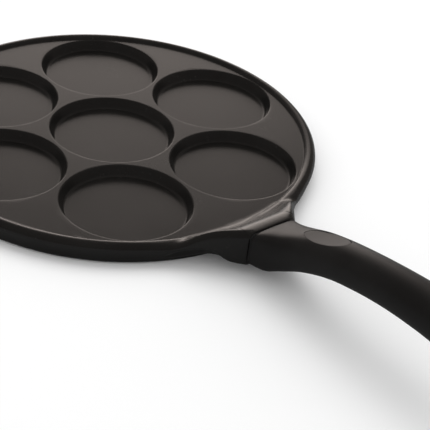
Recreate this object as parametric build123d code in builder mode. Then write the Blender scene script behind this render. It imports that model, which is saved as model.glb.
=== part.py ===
from build123d import *
from math import atan2, cos, degrees, radians, sin, tan
import os

# Seven-well small-pancake pan in cast aluminium, with a moulded handle on a cast tang.
# Millimetres. The origin is the centre of the base, +Z is up and +X runs along the handle.

# Pan disc and its rolled rim
rim_radius = 130.0
plate_height = 11.6
bead_radius = 4.0
bead_rise = 2.0
wall_taper = 2.4
base_edge_radius = 3.0

# Relief grooves turned in the flat base, set in from the rim
groove_inset = 19.0
groove_pitch = 29.0
groove_count = 3
groove_width = 2.0
groove_depth = 0.5

# Seven shallow wells: one in the middle and six around it, as wide as the rim allows
ring_wells = 6
rim_land = 8.6
well_web = 3.2
well_flare = 2.8
well_depth = 6.3
well_lip_fillet = 1.2
well_floor_fillet = 1.8

# Seam, where the cast neck ends and the handle starts
seam_overhang = 21.6
seam_gap = 1.0
seam_half_width = 17.4
seam_lift = 16.8
seam_height = 21.8

# Neck between the disc and the seam
neck_reach = 34.6
neck_sink = 1.0
neck_flare = 28.0
neck_keel = 3.2
neck_shoulder = 3.4
neck_corner = 8.0
neck_corner_growth = 14.0
# Per section: place along the reach, flare, rise of the top, keel, shoulder, corner
# growth, and fullness of the side
neck_rows_share = (
    (0.00, 1.00, 0.00, 1.00, 0.50, 1.00, 0.55),
    (0.20, 0.91, 0.11, 1.00, 0.50, 1.00, 0.55),
    (0.37, 0.74, 0.26, 1.00, 0.60, 1.00, 0.55),
    (0.54, 0.54, 0.44, 0.95, 0.70, 0.90, 0.60),
    (0.69, 0.36, 0.61, 0.85, 0.80, 0.65, 0.68),
    (0.84, 0.19, 0.80, 0.60, 0.90, 0.30, 0.80),
    (1.00, 0.00, 1.00, 0.00, 1.00, 0.00, 0.88),
)

# Tang, cast with the neck, that carries the handle
tang_slope = 22.0
tang_length = 34.0
tang_root = 12.0
tang_width = 15.0
tang_height = 10.0
tang_corner = 2.0
tang_clearance = 0.3

# Handle outline from the seam to its end
handle_length = 165.5
handle_rise = 31.8
handle_end_fillet = 4.0
# Per section: place along the length, rise of the top line, half-height over half the
# seam's height, half-width over the seam's, fullness of the corners, and tilt
handle_rows_share = (
    (0.000, 0.000, 1.000, 1.000, 1.08, 0.0),
    (0.030, 0.076, 1.130, 0.914, 0.98, 0.4),
    (0.069, 0.161, 1.059, 0.845, 0.87, 0.8),
    (0.118, 0.275, 1.008, 0.804, 0.79, 1.0),
    (0.196, 0.453, 0.998, 0.772, 0.74, 1.0),
    (0.287, 0.605, 0.991, 0.736, 0.69, 1.0),
    (0.396, 0.730, 0.991, 0.719, 0.67, 1.0),
    (0.529, 0.840, 1.000, 0.719, 0.66, 1.0),
    (0.680, 0.922, 1.044, 0.754, 0.66, 1.0),
    (0.843, 0.982, 1.120, 0.804, 0.66, 1.0),
    (0.906, 1.000, 1.125, 0.810, 0.66, 1.0),
    (0.960, 1.000, 1.029, 0.747, 0.66, 1.0),
    (1.000, 0.985, 0.794, 0.590, 0.66, 1.0),
)

# Thumb rest, an oval inlay dished along the handle
thumb_row = 4
thumb_length = 34.0
thumb_width = 19.0
thumb_depth = 3.2
thumb_fit = 0.1
thumb_dish_radius = 150.0
thumb_dish_depth = 1.5

# Hanging eye
eye_setback = 16.0
eye_radius = 5.0
eye_mouth_radius = 6.4
eye_mouth_sink = 0.8
eye_mouth_angle = 70.0

# Gasket in the seam
gasket_inset = 0.8

# Screw stack that holds the handle on the tang, from the tang outwards
screw_place = 16.0
screw_radius = 2.45
thread_radius = 2.5
insert_radius = 3.5
insert_length = 7.0
screw_tip_gap = 0.6
land_thickness = 2.0
land_hole_radius = 2.8
flat_washer_radius = 5.0
flat_washer_thickness = 0.8
spring_washer_radius = 4.4
spring_washer_thickness = 1.0
spring_washer_gap = 0.9
washer_bore_radius = 2.7
head_radius = 4.6
head_height = 2.5
head_dome = 1.2
head_slot_length = 5.0
head_slot_width = 1.1
head_slot_depth = 1.4
counterbore_radius = 5.6

# Overrun of every cut
overrun = 30.0

# Derived sizes and places
well_mouth_radius = (rim_radius - rim_land - well_web) / 3
well_floor_radius = well_mouth_radius - well_flare
well_pitch = 2 * well_mouth_radius + well_web
well_taper = degrees(atan2(well_flare, well_depth))
bead_middle = plate_height + bead_rise - bead_radius
seam_x = rim_radius + seam_overhang
seam_top = plate_height + seam_lift
seam_bottom = seam_top - seam_height
seam_middle = seam_top - seam_height / 2
handle_x = seam_x + seam_gap


def upright_plane(x):
    """Plane square to +X, with +Y to the right and +Z up."""
    return Plane(origin=(x, 0, 0), x_dir=(0, 1, 0), z_dir=(1, 0, 0))


def tang_plane(along):
    """Plane square to the tang, at a distance past the seam along it."""
    slope = radians(tang_slope)
    origin = (seam_x + along * cos(slope), 0, seam_middle + along * sin(slope))
    return Plane(origin=origin, x_dir=(0, 1, 0), z_dir=(cos(slope), 0, sin(slope)))


def screw_plane(outwards):
    """Plane square to the screw, at a distance from the tang's axis towards the head."""
    slope = radians(tang_slope)
    down = Vector(sin(slope), 0, -cos(slope))
    origin = tang_plane(screw_place).origin + down * outwards
    return Plane(origin=origin, x_dir=(0, 1, 0), z_dir=down)


# Rim and disc profile, turned about the pan's axis
with BuildPart() as pan_disc:
    with BuildSketch(Plane.XZ) as disc_profile:
        with BuildLine():
            wall = Line((rim_radius - wall_taper, 0), (rim_radius, bead_middle))
            bead = ThreePointArc(
                wall @ 1,
                (rim_radius - bead_radius, plate_height + bead_rise),
                (rim_radius - 2 * bead_radius, bead_middle),
            )
            Polyline(bead @ 1, (0, bead_middle), (0, 0), wall @ 0)
        make_face()
        fillet(disc_profile.vertices().sort_by(Axis.X).sort_by(Axis.Y)[1], base_edge_radius)
    revolve(axis=Axis.Z)
    with BuildSketch(Plane.XY.offset(bead_middle)):
        Circle(rim_radius - bead_radius)
    extrude(amount=plate_height - bead_middle)

# Neck, from inside the disc out to the seam
with BuildPart() as neck_blank:
    neck_root_top = plate_height - neck_sink
    for reach, flare, rise, keel, shoulder, growth, fullness in neck_rows_share:
        half_width = seam_half_width + neck_flare * flare
        top = neck_root_top + (seam_top - neck_root_top) * rise
        bottom = seam_bottom - neck_keel * keel
        corner = neck_shoulder * shoulder
        run = neck_corner + neck_corner_growth * growth
        drop = top - corner - bottom
        with BuildSketch(upright_plane(seam_x - neck_reach * (1 - reach))):
            with BuildLine():
                roof = Line((0, top), (half_width - corner, top))
                edge = RadiusArc(roof @ 1, (half_width, top - corner), corner)
                side = Bezier(
                    edge @ 1,
                    (half_width, bottom + drop * (1 - fullness)),
                    (half_width - run * (1 - fullness), bottom),
                    (half_width - run, bottom),
                )
                Line(side @ 1, (0, bottom))
                mirror(about=Plane.YZ)
            make_face()
    loft()

# The whole casting: disc, neck and tang, with the wells, the insert's hole and the base
with BuildPart() as pan_body:
    add(pan_disc.part)
    add(neck_blank.part)
    with BuildSketch(tang_plane(-tang_root)):
        RectangleRounded(tang_width, tang_height, tang_corner)
    extrude(amount=tang_root + tang_length)
    with BuildSketch(Plane.XY.offset(plate_height)):
        Circle(well_mouth_radius)
        with PolarLocations(well_pitch, ring_wells, start_angle=180 / ring_wells):
            Circle(well_mouth_radius)
    extrude(amount=-well_depth, taper=well_taper, mode=Mode.SUBTRACT)
    circles = pan_body.edges().filter_by(GeomType.CIRCLE)
    lips = circles.filter_by(lambda e: abs(e.radius - well_mouth_radius) < well_lip_fillet)
    fillet(lips, well_lip_fillet)
    circles = pan_body.edges().filter_by(GeomType.CIRCLE)
    floors = circles.filter_by(lambda e: abs(e.radius - well_floor_radius) < well_lip_fillet)
    fillet(floors, well_floor_fillet)
    with BuildSketch(screw_plane(tang_height / 2 - insert_length)):
        Circle(insert_radius)
    extrude(amount=insert_length + overrun, mode=Mode.SUBTRACT)
    with BuildSketch(Plane.XY):
        for ring in range(groove_count):
            groove_radius = rim_radius - groove_inset - groove_pitch * ring
            Circle(groove_radius + groove_width / 2)
            Circle(groove_radius - groove_width / 2, mode=Mode.SUBTRACT)
    extrude(amount=groove_depth, mode=Mode.SUBTRACT)
pan_body.part.label = "pan_body"

# Gasket that fills the seam, set back from the casting and the handle
with BuildPart() as neck_gasket:
    with BuildSketch(upright_plane(seam_x).shift_origin((seam_x, 0, seam_middle))):
        RectangleRounded(
            2 * (seam_half_width - gasket_inset), seam_height - 2 * gasket_inset, neck_shoulder
        )
    extrude(amount=seam_gap)
    with BuildSketch(tang_plane(-tang_root)):
        RectangleRounded(
            tang_width + 2 * tang_clearance, tang_height + 2 * tang_clearance, tang_corner
        )
    extrude(amount=tang_root + tang_length, mode=Mode.SUBTRACT)
neck_gasket.part.label = "neck_gasket"

# Threaded insert pressed into the tang from below
with BuildPart() as tang_insert:
    with BuildSketch(screw_plane(tang_height / 2 - insert_length)):
        Circle(insert_radius)
        Circle(thread_radius, mode=Mode.SUBTRACT)
    extrude(amount=insert_length)
tang_insert.part.label = "tang_insert"

# Solid outline of the handle, before the socket and the other cuts
handle_points = [
    Vector(handle_x + handle_length * row[0], 0, seam_top + handle_rise * row[1])
    for row in handle_rows_share
]
handle_slopes = [
    degrees(atan2(after.Z - before.Z, after.X - before.X))
    for before, after in zip(
        handle_points[:1] + handle_points[:-1], handle_points[1:] + handle_points[-1:]
    )
]
with BuildPart() as handle_blank:
    for point, slope, row in zip(handle_points, handle_slopes, handle_rows_share):
        half_height = seam_height / 2 * row[2]
        half_width = seam_half_width * row[3]
        full = row[4]
        tilt = radians(slope * row[5])
        section = Plane(origin=point, x_dir=(0, 1, 0), z_dir=(cos(tilt), 0, sin(tilt)))
        with BuildSketch(section):
            with BuildLine():
                upper = Bezier(
                    (0, 0),
                    (half_width * full, 0),
                    (half_width, half_height * (full - 1)),
                    (half_width, -half_height),
                )
                Bezier(
                    upper @ 1,
                    (half_width, -half_height * (1 + full)),
                    (half_width * full, -2 * half_height),
                    (0, -2 * half_height),
                )
                mirror(about=Plane.YZ)
            make_face()
    loft()
    end_edges = handle_blank.faces().sort_by(Axis.X)[-1].edges()
    fillet(end_edges, handle_end_fillet)

# Thumb rest: its middle lies between two of the handle's sections
thumb_middle = (handle_points[thumb_row] + handle_points[thumb_row + 1]) / 2
thumb_chord = handle_points[thumb_row + 1] - handle_points[thumb_row]
thumb_plane = Plane(
    origin=thumb_middle,
    x_dir=thumb_chord.normalized(),
    z_dir=Vector(0, -1, 0).cross(thumb_chord).normalized(),
)
dish_plane = Plane(
    origin=thumb_plane.offset(thumb_dish_radius - thumb_dish_depth).origin, z_dir=(0, 1, 0)
)

with BuildPart() as thumb_rest:
    add(handle_blank.part)
    with BuildSketch(thumb_plane.offset(-thumb_depth)):
        Ellipse(thumb_length / 2 - thumb_fit, thumb_width / 2 - thumb_fit)
    extrude(amount=thumb_depth + overrun, mode=Mode.INTERSECT)
    with BuildSketch(dish_plane):
        Circle(thumb_dish_radius)
    extrude(amount=thumb_width, both=True, mode=Mode.SUBTRACT)
thumb_rest.part.label = "thumb_rest"

# Hanging eye near the handle's end, flared at both mouths
eye_x = handle_x + handle_length - eye_setback
eye_span = max(row[2] for row in handle_rows_share) * seam_height - 2 * eye_mouth_sink
eye_top = Plane(origin=(eye_x, 0, seam_top + handle_rise - eye_mouth_sink), z_dir=(0, 0, 1))
eye_under = Plane(origin=eye_top.offset(-eye_span).origin, z_dir=(0, 0, -1))
land_start = tang_height / 2 + tang_clearance
land_end = land_start + land_thickness

with BuildPart() as handle:
    add(handle_blank.part)
    with BuildSketch(tang_plane(-tang_root)):
        RectangleRounded(
            tang_width + 2 * tang_clearance, tang_height + 2 * tang_clearance, tang_corner
        )
    extrude(amount=tang_root + tang_length + tang_clearance, mode=Mode.SUBTRACT)
    with BuildSketch(thumb_plane.offset(-thumb_depth)):
        Ellipse(thumb_length / 2, thumb_width / 2)
    extrude(amount=thumb_depth + overrun, mode=Mode.SUBTRACT)
    with BuildSketch(screw_plane(0)):
        Circle(land_hole_radius)
    extrude(amount=land_end, mode=Mode.SUBTRACT)
    with BuildSketch(screw_plane(land_end)):
        Circle(counterbore_radius)
    extrude(amount=overrun, mode=Mode.SUBTRACT)
    with Locations(eye_top, eye_under):
        CounterSinkHole(eye_radius, eye_mouth_radius, overrun, eye_mouth_angle)
handle.part.label = "handle"

# Screw and washers, stacked from the handle's land outwards
with BuildPart() as flat_washer:
    with BuildSketch(screw_plane(land_end)):
        Circle(flat_washer_radius)
        Circle(washer_bore_radius, mode=Mode.SUBTRACT)
    extrude(amount=flat_washer_thickness)
flat_washer.part.label = "flat_washer"

spring_start = land_end + flat_washer_thickness
with BuildPart() as spring_washer:
    with BuildSketch(screw_plane(spring_start)) as split_ring:
        Circle(spring_washer_radius)
        Circle(washer_bore_radius, mode=Mode.SUBTRACT)
        with Locations((spring_washer_radius / 2, 0)):
            Rectangle(spring_washer_radius, spring_washer_gap, mode=Mode.SUBTRACT)
    extrude(amount=spring_washer_thickness)
spring_washer.part.label = "spring_washer"

head_start = spring_start + spring_washer_thickness
shank_start = tang_height / 2 - insert_length + screw_tip_gap
with BuildPart() as handle_screw:
    with BuildSketch(screw_plane(shank_start)):
        Circle(screw_radius)
    extrude(amount=head_start - shank_start)
    with BuildSketch(screw_plane(head_start)):
        Circle(head_radius)
    extrude(amount=head_height)
    crown = handle_screw.edges().filter_by(GeomType.CIRCLE)
    crown = crown.filter_by(lambda e: abs(e.radius - head_radius) < head_dome / 2)
    fillet(crown.sort_by(Axis.Z)[0], head_dome)
    with BuildSketch(screw_plane(head_start + head_height)):
        Rectangle(head_slot_length, head_slot_width)
        Rectangle(head_slot_width, head_slot_length)
    extrude(amount=-head_slot_depth, mode=Mode.SUBTRACT)
handle_screw.part.label = "handle_screw"

os.makedirs("parts", exist_ok=True)
export_step(pan_body.part, "parts/pan_body.step")
export_step(neck_gasket.part, "parts/neck_gasket.step")
export_step(tang_insert.part, "parts/tang_insert.step")
export_step(handle.part, "parts/handle.step")
export_step(thumb_rest.part, "parts/thumb_rest.step")
export_step(flat_washer.part, "parts/flat_washer.step")
export_step(spring_washer.part, "parts/spring_washer.step")
export_step(handle_screw.part, "parts/handle_screw.step")
mouth_depth = (eye_mouth_radius - eye_radius) / tan(radians(eye_mouth_angle / 2))
print("eye wall length", eye_span - 2 * mouth_depth, "middle", eye_top.offset(-eye_span / 2).origin)
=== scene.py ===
from math import atan2, cos, degrees, hypot, pi, radians, sin, sqrt, tan

import bmesh
import bpy
import numpy as np
from mathutils import Matrix, Vector
from mathutils.bvhtree import BVHTree


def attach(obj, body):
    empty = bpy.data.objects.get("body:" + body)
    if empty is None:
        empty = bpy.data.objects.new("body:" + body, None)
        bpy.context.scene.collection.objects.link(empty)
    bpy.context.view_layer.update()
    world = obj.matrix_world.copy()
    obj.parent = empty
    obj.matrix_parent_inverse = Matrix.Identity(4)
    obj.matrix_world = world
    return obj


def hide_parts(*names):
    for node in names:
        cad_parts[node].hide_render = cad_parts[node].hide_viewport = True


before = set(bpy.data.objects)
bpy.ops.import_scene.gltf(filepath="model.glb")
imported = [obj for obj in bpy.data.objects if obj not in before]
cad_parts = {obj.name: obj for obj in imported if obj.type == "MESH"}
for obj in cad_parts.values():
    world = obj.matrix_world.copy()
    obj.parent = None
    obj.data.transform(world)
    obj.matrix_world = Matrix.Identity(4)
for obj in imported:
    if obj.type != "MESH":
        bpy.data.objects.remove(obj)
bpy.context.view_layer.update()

# The camera stands at the photograph's angle, to the right of the handle and above it, and
# is turned a little about its own axis. Its place was solved from the pan's circles.
MM = 0.001
image_size = 430
camera_azimuth, camera_elevation, camera_roll = radians(46.34), radians(33.87), radians(7.47)
camera_distance, camera_right, camera_up = 835.22, 71.7, -45.73
camera_focal, sensor_width = 1318.41, 36.0
plate_height = 11.6

towards_camera = Vector((
    sin(camera_azimuth) * cos(camera_elevation),
    -cos(camera_azimuth) * cos(camera_elevation),
    sin(camera_elevation),
))
level = Vector((cos(camera_azimuth), sin(camera_azimuth), 0))
upright = towards_camera.cross(level)
view_x = level * cos(camera_roll) + upright * sin(camera_roll)
view_y = upright * cos(camera_roll) - level * sin(camera_roll)
camera_place = towards_camera * camera_distance + level * camera_right + upright * camera_up
camera_place.z += plate_height
camera_turn = Matrix((view_x, view_y, towards_camera)).transposed().to_4x4()
camera_data = bpy.data.cameras.new("camera")
camera_data.sensor_width = sensor_width
camera_data.lens = camera_focal / image_size * sensor_width
camera = bpy.data.objects.new("camera", camera_data)
camera.matrix_world = Matrix.Translation(camera_place * MM) @ camera_turn
bpy.context.scene.collection.objects.link(camera)
bpy.context.scene.camera = camera
bpy.context.scene.view_settings.view_transform = "Standard"


# The studio: a pale table top that keeps the shadow, white all round, and one soft panel
# overhead. Gloss mirrors a dark room with one bright strip, which stands low behind the pan.
class Socket:
    """A shader socket on which sums and products add their own Math nodes."""

    def __init__(self, tree, output):
        self.tree, self.output = tree, output

    def math(self, operation, *values):
        return self.tree.node("ShaderNodeMath", dict(operation=operation),
                              dict(enumerate(values)))

    def __add__(self, other):
        return self.math("ADD", self, other)

    def __sub__(self, other):
        return self.math("SUBTRACT", self, other)

    def __rsub__(self, other):
        return self.math("SUBTRACT", other, self)

    def __mul__(self, other):
        return self.math("MULTIPLY", self, other)

    def __truediv__(self, other):
        return self.math("DIVIDE", self, other)

    def __pow__(self, other):
        return self.math("POWER", self, other)

    __radd__ = __add__
    __rmul__ = __mul__

    def ramp(self, low, high, to_low=0.0, to_high=1.0):
        return self.tree.node("ShaderNodeMapRange", dict(interpolation_type="SMOOTHSTEP"),
                              {0: self, 1: low, 2: high, 3: to_low, 4: to_high})


class Tree:
    """A node tree, with a method that adds any node and some for the commonest."""

    def __init__(self, node_tree):
        self.node_tree = node_tree
        node_tree.nodes.clear()

    def node(self, kind, settings=None, values=None, output=0):
        made = self.node_tree.nodes.new(kind)
        for key, value in (settings or {}).items():
            setattr(made, key, value)
        for key, value in (values or {}).items():
            if isinstance(value, Socket):
                self.node_tree.links.new(value.output, made.inputs[key])
            else:
                made.inputs[key].default_value = value
        if not made.outputs:
            return made
        return Socket(self, made.outputs[output])

    def vector_math(self, operation, *values, output="Value"):
        return self.node("ShaderNodeVectorMath", dict(operation=operation),
                         dict(enumerate(values)), output)

    def mix(self, share, first, second):
        """The first colour where the share is 0, the second where it is 1."""
        return self.node("ShaderNodeMix", dict(data_type="RGBA"),
                         {0: share, 6: first, 7: second}, output=2)

    def noise(self, where, scale, detail):
        return self.node("ShaderNodeTexNoise",
                         values={"Vector": where, "Scale": scale, "Detail": detail})

    def bump(self, height, strength=1.0):
        """Relief from a height in metres."""
        return self.node("ShaderNodeBump",
                         values={"Height": height, "Distance": 1.0, "Strength": strength})

    def surface(self, values):
        """End a material in one shader with these values."""
        shader = self.node("ShaderNodeBsdfPrincipled", values=values)
        self.node("ShaderNodeOutputMaterial", values={"Surface": shader})


def material(name):
    """A new material, its tree, and the place on the piece that its patterns follow."""
    made = bpy.data.materials.new(name)
    made.use_nodes = True
    tree = Tree(made.node_tree)
    return made, tree, tree.node("ShaderNodeTexCoord", output="Object")


table_size, table_drop, table_grey = 6.0, 0.0002, 0.3
whitens_from, white_from = 0.05, 0.6
strip_heading = radians(145)
towards_strip = (cos(strip_heading), sin(strip_heading), 0)
bpy.ops.mesh.primitive_plane_add(size=table_size, location=(0, 0, -table_drop))
table_top = bpy.context.object
table_top.name = "table_top"
table_paint, shade, where = material("table_paint")
seen = shade.node("ShaderNodeLightPath", output="Is Camera Ray")
far = shade.vector_math("DOT_PRODUCT", where, towards_strip)
grey = far.ramp(whitens_from, white_from, table_grey, 1.0)
grey = seen * (1.0 - grey) + grey
matt = shade.node("ShaderNodeBsdfDiffuse", values={"Color": grey})
shade.node("ShaderNodeOutputMaterial", values={"Surface": matt})
table_top.data.materials.append(table_paint)

# The strip is brightest at its foot, settles with height, and then fades to the dark room
ambient_light, room_light = 0.8, 0.15
strip_foot_light, strip_light, strip_settles = 2.5, 1.42, radians(20)
strip_fades, strip_faded, strip_rest = radians(25), radians(37), 0.05
strip_edge, strip_full = 0.935, 0.998
mirrored_tint = (1.1, 0.98, 0.91, 1)
over_one = 1.0001       # keeps the root below from reaching zero straight up

world = bpy.data.worlds.new("surround")
bpy.context.scene.world = world
world.use_nodes = True
sky = Tree(world.node_tree)
seen = sky.node("ShaderNodeLightPath", output="Is Camera Ray")
glossy = sky.node("ShaderNodeLightPath", output="Is Glossy Ray")
outwards = sky.node("ShaderNodeTexCoord", output="Generated")
height = sky.node("ShaderNodeSeparateXYZ", values={0: outwards}, output="Z")
behind = sky.vector_math("DOT_PRODUCT", outwards, towards_strip)
behind = behind / (over_one - height * height) ** 0.5
strip = height.ramp(0.0, sin(strip_settles), strip_foot_light, strip_light)
strip = strip * behind.ramp(strip_edge, strip_full)
strip = strip * height.ramp(sin(strip_fades), sin(strip_faded), 1.0, strip_rest)
mirrored = strip + room_light
strength = glossy * (mirrored - ambient_light) + ambient_light
strength = seen * (1.0 - strength) + strength
tint = sky.mix(glossy, (1, 1, 1, 1), mirrored_tint)
background = sky.node("ShaderNodeBackground", values={"Color": tint, "Strength": strength})
sky.node("ShaderNodeOutputWorld", values={"Surface": background})

panel_place, panel_size, panel_watts = Vector((-0.5, 0.6, 1.8)), 1.6, 12
panel_data = bpy.data.lights.new("top_panel", "AREA")
panel_data.size, panel_data.energy = panel_size, panel_watts
top_panel = bpy.data.objects.new("top_panel", panel_data)
panel_turn = panel_place.to_track_quat("Z", "Y").to_matrix().to_4x4()
top_panel.matrix_world = Matrix.Translation(panel_place) @ panel_turn
top_panel.visible_glossy = False
bpy.context.scene.collection.objects.link(top_panel)


# The pan is one die casting in aluminium: a flat disc with seven shallow wells, a rolled
# rim and a flared neck. A satin black non-stick coating covers it all but the turned base.
rim_radius, bead_radius, bead_rise = 130.0, 4.0, 2.0
wall_taper, base_edge_radius = 2.4, 3.0
ring_wells, well_pitch, mouth_radius, floor_radius = 6, 82.0, 39.4, 36.6
well_depth, lip_fillet, floor_fillet = 6.3, 1.2, 1.8
seam_x, seam_half_width, seam_top, seam_bottom = 151.6, 17.4, 28.4, 6.6
seam_corner, seam_lower_corner, seam_edge = 4.4, 2.2, 0.8
flare, neck_reach, rim_blend, seam_blend = 0.94, pi / 3, 10.0, 0.8
corner_angle = degrees(atan2(seam_half_width, seam_x))
bead_top, wall_height = rim_radius - bead_radius, plate_height + bead_rise - bead_radius


def spread(first, last, count):
    """Numbers at even steps, both ends among them."""
    return list(np.linspace(first, last, count))


def smooth_step(low, high, value):
    t = np.clip((value - low) / (high - low), 0, 1)
    return t * t * (3 - 2 * t)


def smooth_max(a, b, reach):
    """The greater of two heights, with a rounded corner where they cross."""
    near = np.maximum(reach - np.abs(a - b), 0) / reach
    return np.maximum(a, b) + near * near * reach / 4


def quarter(d, reach, drop=None):
    """How far a rounded edge of this reach lies below its corner, at a distance d inside."""
    share = 1 - np.clip(d, 0, reach) / reach
    return (drop or reach) * (1 - np.sqrt(np.maximum(1 - share ** 2, 0)))


def around_origin(radius, angle):
    return radius * cos(radians(angle)), radius * sin(radians(angle))


def outline_radius(angle):
    """The casting's outline in plan, as a radius, with the flared neck round +X."""
    angle = abs(angle)
    if angle > neck_reach:
        return rim_radius
    flank = (seam_half_width + flare * seam_x) / (sin(angle) + flare * cos(angle))
    flank = float(smooth_max(flank, rim_radius, rim_blend))
    seam = seam_x / cos(angle)
    return -float(smooth_max(-flank, -seam, seam_blend))


def flank_distance(x, y):
    """How far a point lies inside the neck's straight flank."""
    return (seam_half_width + flare * (seam_x - x) - abs(y)) / hypot(1, flare)


# The neck's top: a ramp climbs to a crest and runs level from there to the seam. The pairs
# are degrees from the handle, or radii, between which one form gives way to the next.
ramp_start, crest_x = 125.0, 141.6
crest_blend, ramp_foot_blend, bead_foot_blend = 8.0, 5.0, 0.3
soft_bead_angles, steeper_angles, ramp_end_angles = (2, 9), (6, 16), (15, 26)
soft_bead_radii, bead_foot_radii = (122.5, 131.0), (119.5, 121.0)
bead_start, flat_radius = 120, 116
steeper_share, ramp_end_drop = 0.4, 12


def top_rise(x, y):
    """Height of the rim's bead and of the neck's ramp over the plate."""
    radius, angle = np.hypot(x, y), abs(np.degrees(np.arctan2(y, x)))
    inside = np.clip(rim_radius - bead_radius - radius, 0, bead_radius)
    bead = bead_rise - bead_radius + np.sqrt(bead_radius ** 2 - inside ** 2)
    soft_bead = bead_rise * smooth_step(*soft_bead_radii, radius)
    softness = 1 - smooth_step(*soft_bead_angles, angle)
    bead = bead * (1 - softness) + soft_bead * softness
    bead = smooth_max(bead, 0, bead_foot_blend) * smooth_step(*bead_foot_radii, radius)
    bead = np.where(radius < bead_start, 0, bead)
    crest_height = seam_top - plate_height
    slope = crest_height / (crest_x / np.cos(np.radians(angle)) - ramp_start)
    slope = slope * (1 + steeper_share * smooth_step(*steeper_angles, angle))
    ramp = slope * (radius - ramp_start)
    ramp = -smooth_max(-ramp, -crest_height, crest_blend)
    ramp = ramp - ramp_end_drop * smooth_step(*ramp_end_angles, angle)
    return np.where(radius < flat_radius, 0, smooth_max(bead, ramp, ramp_foot_blend))


# Angles at which the casting's outside is drawn, over one well's share of the turn. They lie
# closest at the seam's corner.
well_share, corner_gap, flank_from, flank_to, rim_from = 60, 0.25, 0.9, 24, 25.2
seam_count, flank_count, rim_count = 14, 26, 5
half_sector = spread(0, corner_angle - corner_gap, seam_count)
half_sector += [corner_angle, corner_angle + corner_gap]
half_sector += spread(corner_angle + flank_from, flank_to, flank_count)
half_sector += spread(rim_from, well_share / 2, rim_count)
sector = half_sector + [well_share - a for a in reversed(half_sector[:-1])]
all_angles = [a + well_share * well for well in range(ring_wells) for a in sector[:-1]]
foot_radius, foot_inset, foot_inset_angles = 122.36, 4.6, (8, 30)
web_radius = well_pitch / sqrt(3)


def foot_at(angle):
    """Radius of the rim's inner foot: it runs outside the wells and farther in between them."""
    from_well = abs(angle % well_share - well_share / 2)
    return foot_radius - foot_inset * float(smooth_step(*foot_inset_angles, from_well))


inner_floor_radii, floor_edge_gap, fillet_steps = (12, 24), 0.5, 7
land_shares = (0.15, 0.4, 0.6, 0.75, 0.86, 0.94, 1.0)


def cell_rings(middle, boundary):
    """Rings of one well, from the middle of its floor to the edge of its cell."""
    wall_slope = atan2(mouth_radius - floor_radius, well_depth)
    turned = pi / 2 - wall_slope
    floor_reach, lip_reach = floor_fillet * tan(turned / 2), lip_fillet * tan(turned / 2)
    floor_edge, lip_edge = floor_radius - floor_reach, mouth_radius + lip_reach
    bottom = plate_height - well_depth
    rings = [(radius, bottom) for radius in (*inner_floor_radii, floor_edge - floor_edge_gap)]
    for share in spread(0, 1, fillet_steps):
        angle = turned * share - pi / 2
        rings.append((floor_edge + floor_fillet * cos(angle),
                      bottom + floor_fillet * (1 + sin(angle))))
    for share in spread(0, 1, fillet_steps):
        angle = pi - wall_slope - turned * share
        rings.append((lip_edge + lip_fillet * cos(angle),
                      plate_height + lip_fillet * (sin(angle) - 1)))
    steps = [(x - middle[0], y - middle[1]) for x, y in boundary]
    ways = [atan2(y, x) for x, y in steps]
    points = []
    for radius, height in rings:
        for way in ways:
            points.append((middle[0] + radius * cos(way), middle[1] + radius * sin(way), height))
    for share in land_shares:
        for way, step in zip(ways, steps):
            radius = lip_edge + (hypot(*step) - lip_edge) * share
            x, y = middle[0] + radius * cos(way), middle[1] + radius * sin(way)
            points.append((x, y, plate_height + float(top_rise(x, y))))
    return points, (*middle, bottom)


def skin(points, centre, around):
    """Faces between rings of points, with a fan at the centre when there is one."""
    count, faces = len(points), []
    for ring in range(count // around - 1):
        a, b = ring * around, (ring + 1) * around
        for i in range(around):
            j = (i + 1) % around
            faces.append((a + i, b + i, b + j, a + j))
    points = list(points)
    if centre is not None:
        points.append(centre)
        faces += [(count, i, (i + 1) % around) for i in range(around)]
    return points, faces


def closed_tube(points, around):
    """A tube of rings, closed by a face at each end."""
    last = len(points) - around
    ends = [tuple(range(around)), tuple(reversed(range(last, len(points))))]
    return list(points), skin(points, None, around)[1] + ends


def solid(name, groups):
    """One mesh object from groups of (points, faces), in metres."""
    points, faces = [], []
    for some_points, some_faces in groups:
        faces += [tuple(i + len(points) for i in face) for face in some_faces]
        points += some_points
    mesh = bpy.data.meshes.new(name)
    mesh.from_pydata([tuple(c * MM for c in p) for p in points], [], faces)
    mesh.polygons.foreach_set("use_smooth", [True] * len(mesh.polygons))
    mesh.update()
    made = bpy.data.objects.new(name, mesh)
    bpy.context.scene.collection.objects.link(made)
    return made


# The plate is drawn in cells, one round each well: a hexagon in the middle, and six alike
# that reach out to the rim's inner foot
web_count, inner_count = 18, 17
web_steps = spread(web_radius, foot_at(0), web_count)
inner_edge = [(web_radius * (1 - t) + web_radius * t / 2, web_radius * t * sqrt(3) / 2)
              for t in spread(0, 1, inner_count)]
outer_boundary = [around_origin(foot_at(a), a) for a in sector]
outer_boundary += [around_origin(r, well_share) for r in reversed(web_steps[1:-1])]
outer_boundary += list(reversed(inner_edge))
outer_boundary += [around_origin(r, 0) for r in web_steps[1:-1]]
outer_middle = around_origin(well_pitch, well_share / 2)
centre_boundary = []
for well in range(ring_wells):
    c, s = cos(well * pi / 3), sin(well * pi / 3)
    centre_boundary += [(c * x - s * y, s * x + c * y) for x, y in inner_edge[:-1]]

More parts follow.
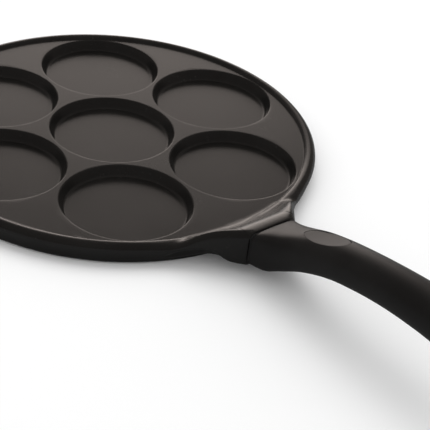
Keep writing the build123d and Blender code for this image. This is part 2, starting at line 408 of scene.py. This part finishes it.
# The neck's edges by degrees from the handle: the radius of its shoulder, the height where
# the shoulder ends, and its underside, which arches up between the seam and the disc
neck_turns, neck_facing_angles = (corner_angle, 9, 12, 16, 20, 24), (18, 24)
shoulder_radii = (seam_corner, 4.4, 4.6, 5.2, 5.5, bead_radius)
shoulder_ends = (23.2, 20.8, 17.0, 14.2, 11.6, 9.6)
under_turns = (0, 7.5, 8.9, 9.7, 10.5, 11.3, 12.1, 12.9, 13.7, 16.0, 18.5, 23)
under_heights = (seam_bottom, 6.6, 6.9, 7.8, 9.3, 11.2, 12.4, 12.9, 12.9, 12.3, 11.1, 8.5)
neck_end_angles, lower_edge_angles, lower_edge, lower_edge_more = (18.5, 23), (8, 20), 1.0, 1.2
# How closely the rim and the neck are drawn
bead_steps = [122.6, 122.9, 123.3, 123.8, 124.4, 125.1, bead_top]
foot_steps, top_steps, edge_steps = 7, 15, 10
flank_steps, lower_edge_steps, under_steps = 7, 7, 9
least_top = 0.01
neck_foot = 3.0         # height where the neck's underside meets the disc's wall
neck_foot_radius = rim_radius - wall_taper * (1 - neck_foot / wall_height)


def neck_side(a, out, top, inward):
    """The neck's flank, lower edge and underside at one angle, in to the disc's wall."""
    from_handle = abs(degrees(a))
    on_seam = from_handle <= corner_angle
    low = float(np.interp(from_handle, under_turns, under_heights))
    edge = lower_edge + lower_edge_more * (1 - smooth_step(*lower_edge_angles, from_handle))
    if on_seam:
        edge = seam_edge

    def under(radius, height):
        """The underside, which rises at the seam's rounded lower corners."""
        if not on_seam:
            return height
        inside = flank_distance(radius * cos(a), radius * sin(a))
        return height + float(quarter(inside, seam_lower_corner))

    start = under(out, low) + edge
    side = [(out, top + (start - top) * t) for t in spread(0, 1, flank_steps)[1:]]
    for t in spread(0, pi / 2, lower_edge_steps)[1:]:
        radius = out - edge * (1 - cos(t)) / inward
        side.append((radius, under(radius, low) + edge * (1 - sin(t))))
    from_radius = side[-1][0]
    for t in spread(0, 1, under_steps)[1:]:
        radius = from_radius + (neck_foot_radius - from_radius) * t
        height = low + (neck_foot - low) * smooth_step(0, 1, t)
        side.append((radius, under(radius, height)))
    return side


def rim_profile(angle):
    """Radius and height of the casting's outside, from the rim's inner foot to its wall."""
    a = radians(angle if angle <= 180 else angle - 360)
    from_handle = abs(degrees(a))
    on_seam = from_handle <= corner_angle
    out = outline_radius(a)
    shoulder = float(np.interp(from_handle, neck_turns, shoulder_radii))
    shoulder_end = float(np.interp(from_handle, neck_turns, shoulder_ends))
    drop = plate_height + float(top_rise(out * cos(a), out * sin(a))) - shoulder_end
    facing = 1.0 if from_handle > neck_turns[-1] else cos(atan2(1, flare) - abs(a))
    facing = facing + (1 - facing) * smooth_step(*neck_facing_angles, from_handle)
    edge = seam_edge if on_seam else shoulder
    inward = cos(a) if on_seam else facing
    edge_start = out - edge / inward
    radii = spread(foot_at(from_handle), bead_steps[0], foot_steps) + bead_steps[1:]
    top_radii = spread(bead_top, edge_start, top_steps)[1:-1]
    radii += top_radii if edge_start > bead_top + least_top else [bead_top] * len(top_radii)
    radii += [out - edge * (1 - sin(t)) / inward for t in spread(0, pi / 2, edge_steps)]
    profile = []
    for radius in radii:
        x, y = radius * cos(a), radius * sin(a)
        z = plate_height + float(top_rise(x, y))
        if on_seam:
            z -= float(quarter(flank_distance(x, y), seam_corner)) + float(quarter(seam_x - x, edge))
        else:
            z -= float(quarter((out - radius) * facing, shoulder, drop))
        profile.append((radius, z))
    top = profile[-1][1]
    neck = 1 - smooth_step(*neck_end_angles, from_handle)
    side = neck_side(a, out, top, inward)
    for t, (radius, z) in zip(spread(0, 1, len(side) + 1)[1:], side):
        wall_radius, wall_z = out + (neck_foot_radius - out) * t, top + (neck_foot - top) * t
        profile.append((wall_radius + (radius - wall_radius) * neck, wall_z + (z - wall_z) * neck))
    return profile


# The base: its rounded edge, three turned grooves, and rings towards the middle
wall_tilt = atan2(wall_taper, wall_height)
edge_land, base_edge_steps = 0.4, 8
edge_reach = base_edge_radius * tan((pi / 2 - wall_tilt) / 2)
edge_middle = rim_radius - wall_taper - edge_reach
base_rings = []
for t in spread(0, 1, base_edge_steps):
    angle = -wall_tilt - (pi / 2 - wall_tilt) * t
    base_rings.append((edge_middle + base_edge_radius * cos(angle),
                       base_edge_radius * (1 + sin(angle))))
base_rings.append((edge_middle - edge_land, 0.0))
groove_radii, groove_width, groove_depth = (111.0, 82.0, 53.0), 2.0, 0.5
groove_slope, groove_land, middle_radii = 0.1, 0.3, (26, 8)
for groove in groove_radii:
    outer, inner = groove + groove_width / 2, groove - groove_width / 2
    base_rings += [(outer + groove_land, 0), (outer, 0), (outer - groove_slope, groove_depth),
                   (inner + groove_slope, groove_depth), (inner, 0), (inner - groove_land, 0)]
base_rings += [(radius, 0) for radius in middle_radii]
clockwise = list(reversed(all_angles))
profiles = [rim_profile(a) + base_rings for a in clockwise]
rim_points = []
for ring in reversed(range(len(profiles[0]))):
    for a, profile in zip(clockwise, profiles):
        rim_points.append((*around_origin(profile[ring][0], a), profile[ring][1]))

# The tang is cast on the neck's end and slopes up inside the handle
tang_slope, tang_root, tang_length = radians(22.0), 12.0, 34.0
tang_half_width, tang_half_height, tang_corner, tang_end_edge = 7.5, 5.0, 2.0, 0.6
seam_middle = (seam_top + seam_bottom) / 2


def along_tang(along, across, out):
    """A point of the tang: along its slope, across it and out towards its upper side."""
    return (seam_x + along * cos(tang_slope) - out * sin(tang_slope), across,
            seam_middle + along * sin(tang_slope) + out * cos(tang_slope))


def rounded_outline(half_width, half_height, corner, steps=6):
    points = []
    for quadrant, (sx, sy) in enumerate(((1, 1), (-1, 1), (-1, -1), (1, -1))):
        for angle in spread(quadrant * pi / 2, (quadrant + 1) * pi / 2, steps):
            points.append((sx * (half_width - corner) + corner * cos(angle),
                           sy * (half_height - corner) + corner * sin(angle)))
    return points


def bar(outline, stations, placed):
    """A closed bar of one outline, drawn in by an inset at each station along it."""
    points, clockwise_outline = [], list(reversed(outline))
    for along, inset in stations:
        for y, z in clockwise_outline:
            size = hypot(y, z)
            points.append(placed(along, y * (1 - inset / size), z * (1 - inset / size)))
    return closed_tube(points, len(outline))


tang = bar(rounded_outline(tang_half_width, tang_half_height, tang_corner),
           [(-tang_root, 0), (0, 0), (tang_length - tang_end_edge, 0),
            (tang_length, tang_end_edge)], along_tang)
outer_cell = solid("well_cell", [
    skin(*cell_rings(outer_middle, outer_boundary), len(outer_boundary))])
pan = solid("cast_pan", [
    skin(*cell_rings((0, 0), centre_boundary), len(centre_boundary)),
    skin(rim_points, (0, 0, 0), len(all_angles)),
    tang,
])

wells_tree = bpy.data.node_groups.new("wells_round_the_middle", "GeometryNodeTree")
for label, kind in (("Casting", "NodeSocketGeometry"), ("Well cell", "NodeSocketObject"),
                    ("Wells", "NodeSocketInt"), ("Weld distance", "NodeSocketFloat"),
                    ("Finish", "NodeSocketMaterial")):
    wells_tree.interface.new_socket(label, in_out="INPUT", socket_type=kind)
wells_tree.interface.new_socket("Casting", in_out="OUTPUT", socket_type="NodeSocketGeometry")
grow = Tree(wells_tree)
group_in = wells_tree.nodes.new("NodeGroupInput")


def given(label):
    return Socket(grow, group_in.outputs[label])


cell_geometry = grow.node("GeometryNodeObjectInfo", values={0: given("Well cell")},
                          output="Geometry")
places = grow.node("GeometryNodePoints", values={0: given("Wells")})
index = grow.node("GeometryNodeInputIndex")
turned = grow.node("ShaderNodeCombineXYZ", values={"Z": index * (2 * pi) / given("Wells")})
copies = grow.node("GeometryNodeInstanceOnPoints",
                   values={"Points": places, "Instance": cell_geometry, "Rotation": turned})
whole = wells_tree.nodes.new("GeometryNodeJoinGeometry")
wells_tree.links.new(copies.output, whole.inputs[0])
wells_tree.links.new(given("Casting").output, whole.inputs[0])
real = grow.node("GeometryNodeRealizeInstances", values={0: Socket(grow, whole.outputs[0])})
welded = grow.node("GeometryNodeMergeByDistance",
                   values={"Geometry": real, "Distance": given("Weld distance")})
painted = grow.node("GeometryNodeSetMaterial",
                    values={"Geometry": welded, "Material": given("Finish")})
grow.node("NodeGroupOutput", values={0: painted})

# The coating is black with faint smears and a fine spatter. The base was turned bare after
# it, up to its edge, and shows the rings of the lathe tool.
coat_black, coat_smeared = (0.0058, 0.0053, 0.0048, 1), (0.0088, 0.0081, 0.0074, 1)
speck_grey, speck_share = (0.035, 0.033, 0.031, 1), 0.35
metal_dark, metal_light = (0.56, 0.55, 0.54, 1), (0.72, 0.71, 0.7, 1)
bare_height, coated_height, bare_radius, coated_radius = 0.00075, 0.0011, 0.1238, 0.1246
patch_range, speck_range = (0.35, 0.7), (0.68, 0.76)
coat_rough, smear_rough, spatter_rough, metal_rough, turning_rough = 0.22, 0.05, 0.03, 0.34, 0.12
spatter_depth, speck_depth, turning_depth, scratch_depth = 0.000012, 0.00001, 0.000006, 0.00001
turning_pitch = 0.0008

coating, shade, where = material("coated_casting")
east, north, height = (
    shade.node("ShaderNodeSeparateXYZ", values={0: where}, output=axis) for axis in "XYZ")
radial = (east * east + north * north) ** 0.5
spatter = shade.noise(where, scale=1500.0, detail=3.0)
smears = shade.noise(where, scale=34.0, detail=4.0)
specks = shade.noise(where, scale=620.0, detail=1.0).ramp(*speck_range)
tool_turns = radial * (2 * pi / turning_pitch)
tool_rings = tool_turns.math("SINE", tool_turns)
scratches = shade.node("ShaderNodeTexNoise", dict(noise_dimensions="1D"),
                       {"W": radial * 900.0, "Scale": 1.0, "Detail": 4.0})
bare = height.ramp(bare_height, coated_height, 1.0, 0.0)
bare = bare * radial.ramp(bare_radius, coated_radius, 1.0, 0.0)
black = shade.mix(smears.ramp(*patch_range), coat_black, coat_smeared)
black = shade.mix(specks * speck_share, black, speck_grey)
metal = shade.mix(scratches, metal_dark, metal_light)
rough = coat_rough + smears * smear_rough + spatter * spatter_rough
rough = rough + bare * (metal_rough + scratches * turning_rough - rough)
relief = (spatter * spatter_depth + specks * speck_depth) * (1.0 - bare)
relief = relief + bare * (tool_rings * turning_depth + scratches * scratch_depth)
shade.surface({"Base Color": shade.mix(bare, black, metal), "Roughness": rough,
               "Metallic": bare, "IOR": 1.45, "Normal": shade.bump(relief, strength=0.6)})


def apply_modifiers(body):
    """Keep what the modifiers make of a body as its own mesh."""
    bpy.context.view_layer.update()
    evaluated = body.evaluated_get(bpy.context.evaluated_depsgraph_get())
    finished = bpy.data.meshes.new_from_object(evaluated)
    body.modifiers.clear()
    body.data = finished


def soften(body, sharp_angle):
    """Shade a body smooth, except at its sharp edges."""
    body.data.polygons.foreach_set("use_smooth", [True] * len(body.data.polygons))
    body.data.set_sharp_from_angle(angle=radians(sharp_angle))


casting_sharp_angle, weld_distance = 38, 0.00002
modifier = pan.modifiers.new("wells", "NODES")
modifier.node_group = wells_tree
inputs = [i.identifier for i in wells_tree.interface.items_tree if i.in_out == "INPUT"]
for key, value in zip(inputs[1:], (outer_cell, ring_wells, weld_distance, coating)):
    modifier[key] = value
apply_modifiers(pan)
bpy.data.objects.remove(outer_cell)
soften(pan, casting_sharp_angle)
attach(pan, "root")
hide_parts("pan_body")


# The handle is one moulding in dark matt phenolic, broad at the seam, slim at the grip and
# full at the end. It is pushed over the tang and held by a screw from below.
handle_x, handle_length, handle_rise = 152.6, 165.5, 31.8
half_seam_height, front_edge, end_edge = 10.9, 0.5, 5.0
# Per section: place along the length, rise of the top line, half-height over half the
# seam's height, half-width over the seam's, fullness of the corners, and tilt
handle_rows = np.array((
    (0.000, 0.000, 1.000, 1.000, 0.97, 0.0),
    (0.030, 0.076, 1.130, 0.914, 0.90, 0.4),
    (0.069, 0.161, 1.059, 0.845, 0.83, 0.8),
    (0.118, 0.281, 1.018, 0.806, 0.74, 1.0),
    (0.196, 0.463, 1.018, 0.775, 0.66, 1.0),
    (0.287, 0.617, 1.014, 0.739, 0.60, 1.0),
    (0.396, 0.742, 1.014, 0.722, 0.58, 1.0),
    (0.529, 0.851, 1.022, 0.722, 0.58, 1.0),
    (0.680, 0.930, 1.060, 0.757, 0.60, 1.0),
    (0.843, 0.982, 1.120, 0.804, 0.66, 1.0),
    (0.906, 1.000, 1.125, 0.810, 0.66, 1.0),
    (0.960, 1.000, 1.029, 0.747, 0.66, 1.0),
    (1.000, 0.985, 0.794, 0.590, 0.66, 1.0),
))


def handle_values(at):
    """The rows' values at a place along the handle, on a smooth curve through the rows."""
    places = handle_rows[:, 0]
    slopes = np.gradient(handle_rows, places, axis=0)
    i = int(np.clip(np.searchsorted(places, at) - 1, 0, len(places) - 2))
    span = places[i + 1] - places[i]
    t = (at - places[i]) / span
    return ((2 * t ** 3 - 3 * t ** 2 + 1) * handle_rows[i]
            + (t ** 3 - 2 * t ** 2 + t) * span * slopes[i]
            + (3 * t ** 2 - 2 * t ** 3) * handle_rows[i + 1]
            + (t ** 3 - t ** 2) * span * slopes[i + 1])


def handle_top(at):
    return Vector((handle_x + handle_length * at, 0, seam_top + handle_rise * handle_values(at)[1]))


quadrant_steps, tilt_step = 14, 0.01


def handle_ring(at):
    """One section of the handle, drawn in from its edges near both ends."""
    rise = handle_top(min(at + tilt_step, 1)) - handle_top(max(at - tilt_step, 0))
    values = handle_values(at)
    half_height, half_width = half_seam_height * values[2], seam_half_width * values[3]
    full, tilt = values[4], atan2(rise.z, rise.x) * values[5]
    inset = (float(quarter(at * handle_length, front_edge))
             + float(quarter((1 - at) * handle_length, end_edge)))
    quadrant = []
    for t in spread(0, 1, quadrant_steps):
        across = 3 * (1 - t) ** 2 * t * full + 3 * (1 - t) * t ** 2 + t ** 3
        down = 3 * (1 - t) * t ** 2 * (1 - full) + t ** 3
        quadrant.append((across * (half_width - inset), (1 - down) * (half_height - inset)))
    side = quadrant + [(y, -z) for y, z in reversed(quadrant[:-1])]
    top, ring = handle_top(at), []
    for y, z in side + [(-y, -z) for y, z in side[1:-1]]:
        z -= half_height
        ring.append((top.x - z * sin(tilt), y, top.z + z * cos(tilt)))
    return ring


doubles_distance = 0.000001


def outward(made):
    """Merge a closed mesh's doubled points and turn its faces outwards."""
    sheet = bmesh.new()
    sheet.from_mesh(made.data)
    bmesh.ops.remove_doubles(sheet, verts=sheet.verts, dist=doubles_distance)
    bmesh.ops.recalc_face_normals(sheet, faces=sheet.faces)
    sheet.to_mesh(made.data)
    sheet.free()
    return made


def lathe(name, profile, origin, axis, around=64):
    """A closed body turned about an axis from (radius, height along the axis) pairs."""
    side = axis.orthogonal().normalized()
    other = axis.cross(side)
    points = []
    for radius, height in profile:
        for step in range(around):
            angle = 2 * pi * step / around
            points.append(tuple(origin + axis * height + side * radius * cos(angle)
                                + other * radius * sin(angle)))
    return outward(solid(name, [closed_tube(points, around)]))


def cut(body, cutters):
    """Cut the cutters out of a body, for good."""
    for cutter in cutters:
        boolean = body.modifiers.new(cutter.name, "BOOLEAN")
        boolean.object, boolean.operation, boolean.solver = cutter, "DIFFERENCE", "EXACT"
    apply_modifiers(body)
    for cutter in cutters:
        bpy.data.objects.remove(cutter)


front_steps, back_steps, between_steps = 5, 12, 76
front = [front_edge * (1 - cos(t)) / handle_length for t in spread(0, pi / 2, front_steps)]
back = [1 - end_edge * (1 - cos(t)) / handle_length for t in spread(0, pi / 2, back_steps)]
stations = front + spread(front[-1], back[-1], between_steps)[1:-1] + list(reversed(back))
handle_points = [point for at in stations for point in handle_ring(at)]
handle = outward(solid("moulded_handle", [closed_tube(handle_points, len(handle_ring(0)))]))
uncut_handle = BVHTree.FromPolygons([tuple(v.co / MM) for v in handle.data.vertices],
                                    [tuple(f.vertices) for f in handle.data.polygons])

# Thumb pocket in the top, and the plane it is measured from
thumb_length, thumb_width, thumb_depth, thumb_fit = 33.0, 15.5, 3.2, 0.1
thumb_from, thumb_to, above_thumb = 0.191, 0.282, 12
thumb_front, thumb_back = handle_top(thumb_from), handle_top(thumb_to)
thumb_middle = (thumb_front + thumb_back) / 2
thumb_along = (thumb_back - thumb_front).normalized()
thumb_up = Vector((0, -1, 0)).cross(thumb_along).normalized()
thumb_steps = 96
thumb_angles = [2 * pi * i / thumb_steps for i in range(thumb_steps)]


def thumb_point(share, angle, height, fit=0.0):
    along = (thumb_length / 2 - fit) * share * cos(angle)
    across = (thumb_width / 2 - fit) * share * sin(angle)
    return thumb_middle + thumb_along * along + Vector((0, across, 0)) + thumb_up * height


pocket_points = [tuple(thumb_point(1, a, height))
                 for height in (-thumb_depth, above_thumb) for a in thumb_angles]
pocket = outward(solid("pocket", [closed_tube(pocket_points, thumb_steps)]))

# Socket for the tang, and the counterbored hole for its screw
tang_clearance = 0.3
socket_outline = rounded_outline(tang_half_width + tang_clearance,
                                 tang_half_height + tang_clearance, tang_corner)
socket = outward(solid("socket", [bar(
    socket_outline, [(-tang_root, 0), (tang_length + tang_clearance, 0)], along_tang)]))
screw_place, land_end, land_hole, counterbore, below_screw = 16.0, 7.3, 2.8, 5.6, 30
screw_axis = Vector((sin(tang_slope), 0, -cos(tang_slope)))
screw_middle = Vector(along_tang(screw_place, 0, 0))
screw_hole = lathe("screw_hole", [(land_hole, 0), (land_hole, land_end), (counterbore, land_end),
                                  (counterbore, below_screw)], screw_middle, screw_axis)

# Hanging eye through the end, with a rounded lip at both mouths
eye_setback, eye_radius, eye_mouth_radius, eye_lip = 16.0, 5.0, 10.4, 1.9
lip_stand, past_mouth, beside_eye, over_handle = 0.25, 6, 7.5, 100
eye_x = handle_x + handle_length - eye_setback
up = Vector((0, 0, 1))
skin_top = uncut_handle.ray_cast(Vector((eye_x, beside_eye, over_handle)), -up)[0].z
skin_bottom = uncut_handle.ray_cast(Vector((eye_x, beside_eye, 0)), up)[0].z
lip_turns = spread(0, pi / 2, 8)
eye_profile = [(eye_mouth_radius, skin_top + past_mouth)]
eye_profile += [(eye_radius + eye_lip * (1 - sin(t)),
                 skin_top - eye_lip * (1 - cos(t)) + lip_stand) for t in lip_turns]
eye_profile += [(eye_radius + eye_lip * (1 - cos(t)),
                 skin_bottom + eye_lip * (1 - sin(t)) - lip_stand) for t in lip_turns]
eye_profile += [(eye_mouth_radius, skin_bottom - past_mouth)]
eye = lathe("eye", eye_profile, Vector((eye_x, 0, 0)), up)

handle_sharp_angle = 38
cut(handle, [socket, pocket, screw_hole, eye])
soften(handle, handle_sharp_angle)

# The moulding is near black, with a fine matt grain, pits and faint marks of handling
moulding_dark, moulding_handled = (0.0075, 0.0069, 0.0066, 1), (0.0115, 0.0107, 0.0102, 1)
grain_grey, grain_share, grain_range = (0.022, 0.0208, 0.02, 1), 0.5, (0.62, 0.8)
moulding_rough, touch_rough, grain_rough = 0.34, 0.07, 0.06
grain_depth, pit_depth = 0.00002, 0.00001
moulding, shade, where = material("handle_moulding")
grain = shade.noise(where, scale=1900.0, detail=2.0)
pits = shade.node("ShaderNodeTexVoronoi", values={"Vector": where, "Scale": 1300.0})
touch = shade.noise(where, scale=42.0, detail=5.0)
tint = shade.mix(touch.ramp(*patch_range), moulding_dark, moulding_handled)
tint = shade.mix(grain.ramp(*grain_range) * grain_share, tint, grain_grey)
shade.surface({"Base Color": tint, "IOR": 1.33,
               "Roughness": moulding_rough + touch * touch_rough + grain * grain_rough,
               "Normal": shade.bump(grain * grain_depth + pits * pit_depth, strength=0.7)})
handle.data.materials.append(moulding)
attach(handle, "root")
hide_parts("handle")

# The thumb rest is an oval soft-touch inlay, pressed into a pocket in the handle's top and
# dished along its length for the thumb.
dish_radius, dish_depth, dish_blend, inlay_edge = 150.0, 1.5, 0.5, 0.35
inlay_shares = spread(0.06, 0.9, 18) + [0.94, 0.965, 0.98, 0.99, 0.997, 1.0]
inlay_sharp_angle = 50
inlay_points = []
for share in inlay_shares:
    for angle in thumb_angles:
        above = thumb_point(share, angle, above_thumb, thumb_fit)
        hit = uncut_handle.ray_cast(above, -thumb_up)[0]
        skin_height = (hit - thumb_middle).dot(thumb_up)
        along = (above - thumb_middle).dot(thumb_along)
        dish = dish_radius - dish_depth - sqrt(dish_radius ** 2 - along ** 2)
        height = -float(smooth_max(-skin_height, -dish, dish_blend))
        height -= float(quarter((1 - share) * thumb_width / 2, inlay_edge))
        inlay_points.append(tuple(thumb_point(share, angle, height, thumb_fit)))
inlay_points += [tuple(thumb_point(1, a, -thumb_depth, thumb_fit)) for a in thumb_angles]
thumb_rest = outward(solid("thumb_inlay", [closed_tube(inlay_points, thumb_steps)]))
soften(thumb_rest, inlay_sharp_angle)

inlay_dark, inlay_worn = (0.016, 0.0146, 0.0142, 1), (0.021, 0.0193, 0.0188, 1)
inlay_rough, inlay_touch_rough, inlay_grain_depth = 0.46, 0.1, 0.000015
inlay, shade, where = material("thumb_inlay")
grain = shade.noise(where, scale=2600.0, detail=2.0)
touch = shade.noise(where, scale=90.0, detail=4.0)
shade.surface({"Base Color": shade.mix(touch.ramp(*patch_range), inlay_dark, inlay_worn),
               "Roughness": inlay_rough + touch * inlay_touch_rough, "IOR": 1.5,
               "Normal": shade.bump(grain * inlay_grain_depth, strength=0.6)})
thumb_rest.data.materials.append(inlay)
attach(thumb_rest, "root")
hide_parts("thumb_rest")

# The gasket is cut from heat-resistant rubber sheet. It fills the seam between the casting
# and the handle, a little in from their edges.
rubber_black, rubber_bloomed = (0.006, 0.006, 0.006, 1), (0.014, 0.0136, 0.013, 1)
rubber_rough, bloom_rough, rubber_grain_depth, bloom_range = 0.55, 0.2, 0.00001, (0.4, 0.75)
rubber, shade, where = material("gasket_rubber")
bloom = shade.noise(where, scale=240.0, detail=4.0)
grain = shade.noise(where, scale=2200.0, detail=2.0)
shade.surface({"Base Color": shade.mix(bloom.ramp(*bloom_range), rubber_black, rubber_bloomed),
               "Roughness": rubber_rough + bloom * bloom_rough,
               "Normal": shade.bump(grain * rubber_grain_depth)})
for slot in bpy.data.objects["neck_gasket"].material_slots:
    slot.material = rubber

# The fixings are turned stainless steel: a bush pressed into the tang, a flat and a split
# washer, and the screw that draws the handle onto the tang from below.
steel_dark, steel_light = (0.56, 0.55, 0.54, 1), (0.68, 0.67, 0.66, 1)
steel_rough, line_rough, mark_rough, line_depth = 0.2, 0.14, 0.1, 0.000008
steel, shade, where = material("steel_fixings")
from_screw = shade.vector_math("SUBTRACT", where, tuple(screw_middle * MM), output="Vector")
height = shade.vector_math("DOT_PRODUCT", from_screw, tuple(screw_axis))
size = shade.vector_math("LENGTH", from_screw)
radial = (size * size - height * height) ** 0.5
around_screw = shade.node("ShaderNodeCombineXYZ", values={"X": radial, "Y": height})
lines = shade.node("ShaderNodeTexNoise", dict(noise_dimensions="2D"),
                   {"Vector": around_screw, "Scale": 2600.0, "Detail": 3.0})
marks = shade.noise(where, scale=420.0, detail=4.0)
shade.surface({"Base Color": shade.mix(lines, steel_dark, steel_light), "Metallic": 1.0,
               "Roughness": steel_rough + lines * line_rough + marks * mark_rough,
               "Normal": shade.bump(lines * line_depth)})
for name in ("tang_insert", "flat_washer", "spring_washer", "handle_screw"):
    for slot in bpy.data.objects[name].material_slots:
        slot.material = steel
